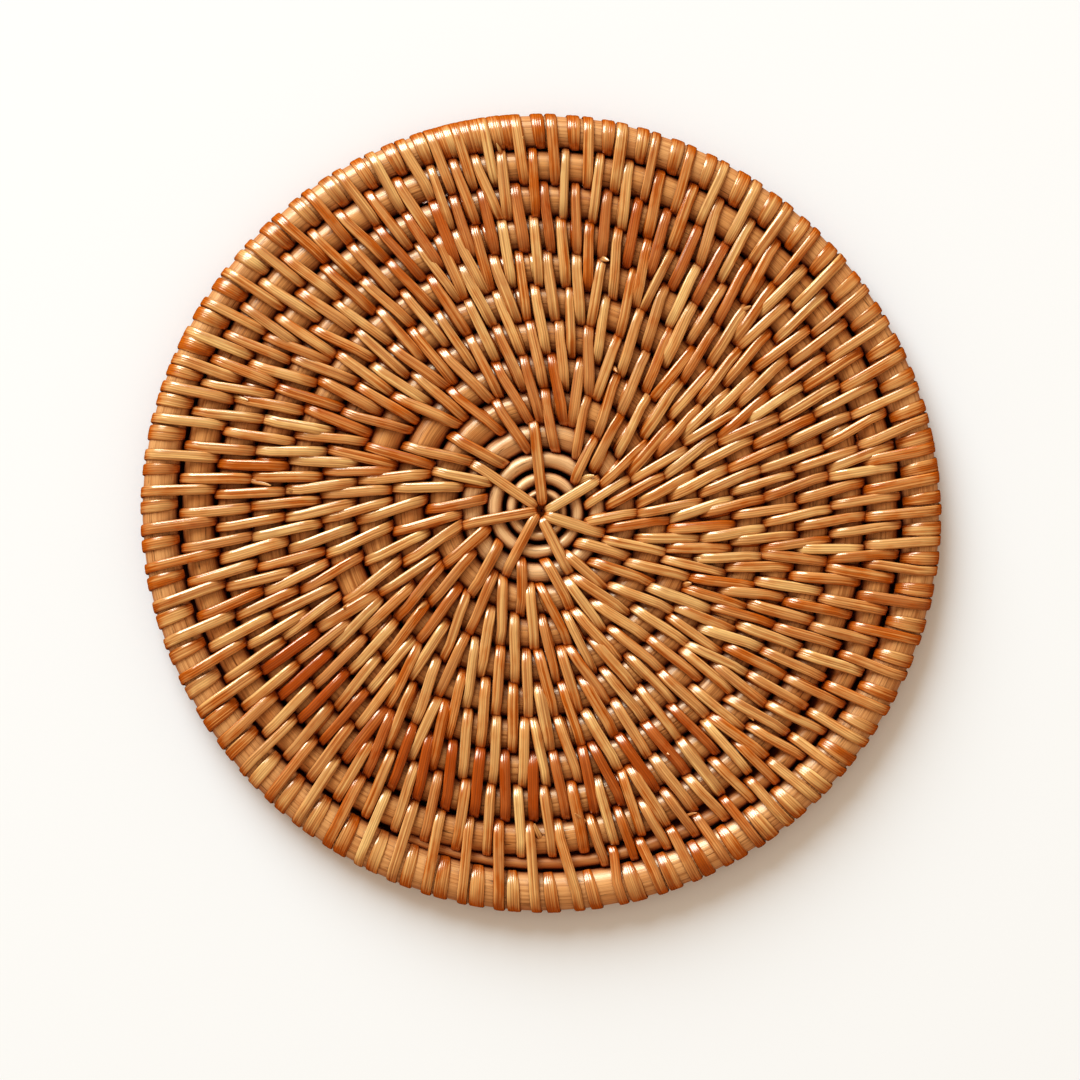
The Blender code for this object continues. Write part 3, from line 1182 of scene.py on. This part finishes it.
class MESH_OT_trivet_wraps(Operator):
    """Add the short wraps that the long strips hide, round one row each"""

    bl_idname = "mesh.trivet_wraps"
    bl_label = "Short wraps"

    def execute(self, context):
        sizes = context.scene.trivet_sizes
        _, feet = lay_out_coil()
        rng = np.random.default_rng(WRAP_SEED)
        count = len(feet)
        middle = rng.normal(0.0, 0.0003, count)
        half = WRAP_RUN * read_off(LEANS, row_radius(feet)) / WRAP_LEAN
        routes = short_routes(feet, sizes, WRAP_OVER, (middle + half, middle - half), WRAP_RINGS)
        even = np.ones(WRAP_RINGS + 1)
        widths = profile(even * 0.95, count, rng, 0.06) * sizes.strip_width
        depths = profile(even, count, rng, 0.05) * sizes.wrap_thickness
        looks = looks_of(feet - 360.0, rng)
        strip = lay_strips("short_wraps", routes, widths, depths, looks, PLAIN_SECTION)
        finish_piece(strip, "coil_rattan")
        return {"FINISHED"}


class MESH_OT_trivet_underside(Operator):
    """Lash the underside, where each long strip comes back beneath the rows and a short one leads on"""

    bl_idname = "mesh.trivet_underside"
    bl_label = "Underside strips"

    def execute(self, context):
        sizes = context.scene.trivet_sizes
        heads, feet = lay_out_coil()
        rng = np.random.default_rng(UNDERSIDE_SEED)
        head, foot = heads[len(STAR):-1], feet[:-1]
        following = heads[len(STAR) + 1:]
        count = len(head)
        thickness = sizes.strip_thickness * UNDER_THICKNESS
        wrap = following + degrees_along(BED_GAP, following)
        routes = long_routes(wrap, foot - degrees_along(UNDER_FOOT_BACK, foot), sizes, rng, -1)
        widths = profile(LONG_WIDTHS, count, rng, 0.06) * sizes.strip_width
        depths = profile(LONG_DEPTHS, count, rng, 0.05) * thickness
        looks = looks_of(head, rng)
        strip = lay_strips("underside_long_strips", routes, widths, depths, looks, PLAIN_SECTION)
        finish_piece(strip, "coil_rattan")
        middle = rng.normal(0.0, 0.0002, count)
        places = middle + UNDER_WRAP_RUN, middle
        routes = short_routes(following, sizes, UNDER[::-1], places, UNDER_WRAP_RINGS)
        even = np.full(UNDER_WRAP_RINGS + 1, 0.9)
        widths = profile(even, count, rng, 0.06) * sizes.strip_width
        depths = profile(even, count, rng, 0.05) * thickness
        looks = looks_of(following, rng)
        strip = lay_strips("underside_short_strips", routes, widths, depths, looks, PLAIN_SECTION)
        finish_piece(strip, "coil_rattan")
        return {"FINISHED"}


class MESH_OT_trivet_star(Operator):
    """Lay the first seven strips, from the middle hole to the first whole row, above it and below it"""

    bl_idname = "mesh.trivet_star"
    bl_label = "Star strips"

    def execute(self, context):
        sizes = context.scene.trivet_sizes
        rng = np.random.default_rng(STAR_SEED)
        heads = np.array(STAR)
        count = len(heads)
        for side, name in ((1, "star_strips"), (-1, "underside_star_strips")):
            outer = coil_reed_at(heads, sizes)
            reach = HOLE_REACH + rng.uniform(-0.0004, 0.0002, count)
            hole = Reed(HOLE_RADIUS[side], reach, MIDDLE + HOLE_HEIGHT * side)
            leaving = lean_over(outer, hole, side)
            aside = rng.normal(-0.0003, 0.0002, count)
            stations = [
                (outer, STAR_OVER[0] * side, STAR_START_RUN, STAR_RINGS[0]),
                (outer, leaving, 0.0, STAR_RINGS[1]),
                (hole, leaving, aside, STAR_RINGS[2]),
                (hole, STAR_OVER[1] * side, aside, 0),
            ]
            points, backs = follow(heads % 360.0, stations)
            points[..., :2] += STAR_CENTRE
            widths = profile(STAR_WIDTHS, count, rng, 0.05) * sizes.strip_width
            depths = profile(np.ones(len(STAR_WIDTHS)), count, rng, 0.05) * sizes.strip_thickness
            groove = rng.uniform(0.0, STAR_GROOVE, count)
            looks = looks_of(heads, rng)
            looks["tone"] = rng.uniform(-0.2, 0.8, count)
            strip = lay_strips(name, (points, backs), widths, depths, looks, groove=groove)
            finish_piece(strip, "coil_rattan")
        return {"FINISHED"}


def lay_out_rim():
    """Angles of the rim's long strips: at the rim, and at their feet beside the coil's outermost heads."""
    heads, _ = lay_out_coil()
    beside = heads[heads < LASHING_ENDS + 360.0]
    feet = beside + degrees_along(BED_GAP, beside)
    feet = feet[np.argsort(feet % 360.0)]
    run = rim_radius(feet) - row_radius(feet)
    tops = feet % 360.0 + np.degrees(RIM_LEAN * run / rim_radius(feet))
    ahead, behind = np.roll(tops, -1), np.roll(tops, 1)
    ahead[-1] += 360.0
    behind[0] -= 360.0
    return (tops * 2 + ahead + behind) / 4, feet


class MESH_OT_trivet_rim_lashing(Operator):
    """Bind the rim to the coil with long strips and short wraps in turn"""

    bl_idname = "mesh.trivet_rim_lashing"
    bl_label = "Rim lashing"

    def execute(self, context):
        sizes = context.scene.trivet_sizes
        rng = np.random.default_rng(RIM_LASHING_SEED)
        tops, feet = lay_out_rim()
        self.long_strips(tops, feet, sizes, rng)
        gaps = np.diff(np.append(tops, tops[0] + 360.0))
        crowded = (tops > CROWDED[0]) & (tops < CROWDED[1])
        wraps = tops + gaps * np.where(crowded, CROWDED_PLACES[0], WRAP_PLACES[0])
        self.short_wraps(wraps, gaps, sizes, rng, "rim_short_wraps")
        extra = (tops + gaps * CROWDED_PLACES[1])[crowded]
        self.short_wraps(extra, gaps[crowded], sizes, rng, "rim_extra_wraps")
        return {"FINISHED"}

    def long_strips(self, tops, feet, sizes, rng):
        count = len(tops)
        rim = rim_reed_at(tops, sizes)
        row = coil_reed_at(feet, sizes, sizes.wrap_thickness)
        foot_place = rim.radius * np.radians((feet - tops + 180.0) % 360.0 - 180.0)
        leaving = lean_over(rim, row)
        stations = [
            (row, RIM_OVER[0], foot_place - RIM_FOOT_RUN, RIM_LONG_RINGS[0]),
            (row, leaving, foot_place, RIM_LONG_RINGS[1]),
            (rim, leaving, rng.normal(RIM_TOP_RUN, 0.0001, count), RIM_LONG_RINGS[2]),
            (rim, RIM_OVER[1], RIM_END_RUN, 0),
        ]
        routes = follow(tops, stations)
        at = np.linspace(0, 1, sum(RIM_LONG_RINGS) + 1)
        widths = profile(read_off(RIM_LONG_WIDTHS, at), count, rng, 0.06) * sizes.strip_width
        depths = profile(read_off(RIM_LONG_DEPTHS, at), count, rng, 0.06) * sizes.strip_thickness
        looks = looks_of(tops, rng)
        groove = rng.uniform(0.0, GROOVE, count)
        depths *= RIM_THICKNESS
        strip = lay_strips("rim_long_strips", routes, widths, depths, looks, groove=groove)
        finish_piece(strip, "rim_rattan")

    def short_wraps(self, wraps, gaps, sizes, rng, name):
        count = len(wraps)
        rim = rim_reed_at(wraps, sizes)
        row_turned = wraps % 360.0
        under = coil_reed_at(np.where(row_turned > 300.0, row_turned, row_turned + 360.0), sizes)
        leaving = lean_over(rim, under, -1)
        inside = np.radians(gaps * (WRAP_PLACES[1] - WRAP_PLACES[0])) * rim.radius
        stations = [
            (rim, RIM_WRAP_OVER[0], inside, RIM_WRAP_RINGS[0]),
            (rim, leaving, RIM_WRAP_RUNS[0], RIM_WRAP_RINGS[1]),
            (under, leaving, RIM_WRAP_RUNS[1], RIM_WRAP_RINGS[2]),
            (under, RIM_WRAP_OVER[1], RIM_WRAP_RUNS[2], 0),
        ]
        routes = follow(wraps, stations)
        at = np.linspace(0, 1, sum(RIM_WRAP_RINGS) + 1)
        widths = profile(read_off(RIM_WRAP_WIDTHS, at), count, rng, 0.08) * sizes.rim_wrap_width
        depths = profile(np.full(len(at), RIM_WRAP_DEPTH), count, rng, 0.06) * sizes.strip_thickness
        groove = rng.uniform(0.0, GROOVE, count)
        depths *= RIM_THICKNESS
        strip = lay_strips(name, routes, widths, depths, looks_of(wraps, rng), groove=groove)
        finish_piece(strip, "rim_rattan")


class MESH_OT_trivet_loose_ends(Operator):
    """Leave a few slivers and cut ends of peel sticking out between the strips"""

    bl_idname = "mesh.trivet_loose_ends"
    bl_label = "Loose ends"

    def execute(self, context):
        sizes = context.scene.trivet_sizes
        at, radius, bearing, length, width, rise = np.array(LOOSE_ENDS).T[..., None]
        count, rings = len(LOOSE_ENDS), len(LOOSE_WIDTHS)
        rng = np.random.default_rng(LOOSE_SEED)
        share = np.linspace(0.0, 1.0, rings)[None]
        turned = np.radians(bearing) + rng.normal(0.0, 0.25, count)[:, None] * share
        step = length * (share - 0.5)
        top = MIDDLE + sizes.reed_height / 2 + LOOSE_LIFT
        along_x = radius * cosine(at) + step * np.cos(turned)
        along_y = radius * sine(at) + step * np.sin(turned)
        level = top + rise * share ** 2 - LOOSE_SUNK * (1.0 - share) ** 3
        points = np.stack([along_x, along_y, level], -1)
        backs = np.broadcast_to((0.0, 0.0, 1.0), points.shape)
        widths = profile(LOOSE_WIDTHS, count, rng, 0.05) * width
        depths = profile(np.linspace(0.5, 0.3, rings), count, rng, 0.1) * sizes.strip_thickness
        looks = looks_of(at[:, 0], rng)
        looks["tone"] = rng.uniform(0.0, 1.0, count)
        strip = lay_strips("loose_ends", (points, backs), widths, depths, looks, PLAIN_SECTION)
        finish_piece(strip, "coil_rattan")
        return {"FINISHED"}


class SCENE_OT_trivet_stage(Operator):
    """Lay the floor, hang the softbox and set up the camera straight above"""

    bl_idname = "scene.trivet_stage"
    bl_label = "Floor, light and camera"

    def execute(self, context):
        scene = context.scene
        stage = scene.trivet_stage
        deselect_all()
        bpy.ops.mesh.primitive_plane_add(size=4.0, location=(0.0, 0.0, 0.0))
        floor = context.object
        floor.name = "floor"
        floor.data.materials.append(material("pale_floor", floor_material, stage))
        floor.visible_glossy = False
        bearing, height = math.radians(stage.key_bearing), math.radians(stage.key_height)
        level = stage.key_distance * math.cos(height)
        place = (level * math.cos(bearing), level * math.sin(bearing), stage.key_distance * math.sin(height))
        bpy.ops.object.light_add(type="AREA", location=place)
        key = context.object
        key.name = "softbox"
        key.data.shape = "DISK"
        key.data.size = stage.key_size
        key.data.energy = stage.key_power
        key.data.color = stage.key_colour
        key.rotation_mode = "QUATERNION"
        key.rotation_quaternion = key.location.to_track_quat("Z", "Y")
        world = bpy.data.worlds.new("fill")
        scene.world = world
        world.use_nodes = True
        background = world.node_tree.nodes["Background"]
        background.inputs["Color"].default_value = (*stage.fill_colour, 1.0)
        background.inputs["Strength"].default_value = stage.fill_strength
        world.cycles_visibility.glossy = False
        bpy.ops.object.camera_add(location=CAMERA_PLACE, rotation=(0.0, 0.0, 0.0))
        camera = context.object
        camera.name = "camera"
        camera.data.lens = 100.0
        camera.data.sensor_width = 36.0
        camera.data.clip_start = 0.01
        scene.camera = camera
        scene.view_settings.view_transform = "Standard"
        scene.view_settings.look = "Medium High Contrast"
        return {"FINISHED"}


class VIEW3D_PT_trivet(Panel):
    """Sizes, colours and steps of the trivet"""

    bl_label = "Rattan Trivet"
    bl_idname = "VIEW3D_PT_trivet"
    bl_space_type = "VIEW_3D"
    bl_region_type = "UI"
    bl_category = "Rattan Trivet"

    def draw(self, context):
        for settings in [getattr(context.scene, name) for name in GROUPS]:
            box = self.layout.box()
            for name in settings.__annotations__:
                box.prop(settings, name)
        for step in STEPS_IN_ORDER:
            self.layout.operator(step.bl_idname)


STEPS_IN_ORDER = (
    SCENE_OT_trivet_stage,
    MESH_OT_trivet_reed,
    MESH_OT_trivet_rim,
    MESH_OT_trivet_wraps,
    MESH_OT_trivet_lashing,
    MESH_OT_trivet_underside,
    MESH_OT_trivet_star,
    MESH_OT_trivet_rim_lashing,
    MESH_OT_trivet_loose_ends,
)
GROUPS = {"trivet_sizes": TrivetSizes, "trivet_colours": TrivetColours, "trivet_stage": TrivetStage}


def register():
    for name, group in GROUPS.items():
        bpy.utils.register_class(group)
        setattr(bpy.types.Scene, name, PointerProperty(type=group))
    for step in STEPS_IN_ORDER:
        bpy.utils.register_class(step)
    bpy.utils.register_class(VIEW3D_PT_trivet)


def unregister():
    bpy.utils.unregister_class(VIEW3D_PT_trivet)
    for step in reversed(STEPS_IN_ORDER):
        bpy.utils.unregister_class(step)
    for name, group in GROUPS.items():
        delattr(bpy.types.Scene, name)
        bpy.utils.unregister_class(group)


def main():
    register()
    bpy.ops.scene.trivet_stage()
    bpy.ops.mesh.trivet_reed()
    bpy.ops.mesh.trivet_rim()
    bpy.ops.mesh.trivet_wraps()
    bpy.ops.mesh.trivet_lashing()
    bpy.ops.mesh.trivet_underside()
    bpy.ops.mesh.trivet_star()
    bpy.ops.mesh.trivet_rim_lashing()
    bpy.ops.mesh.trivet_loose_ends()


if __name__ == "__main__":
    main()
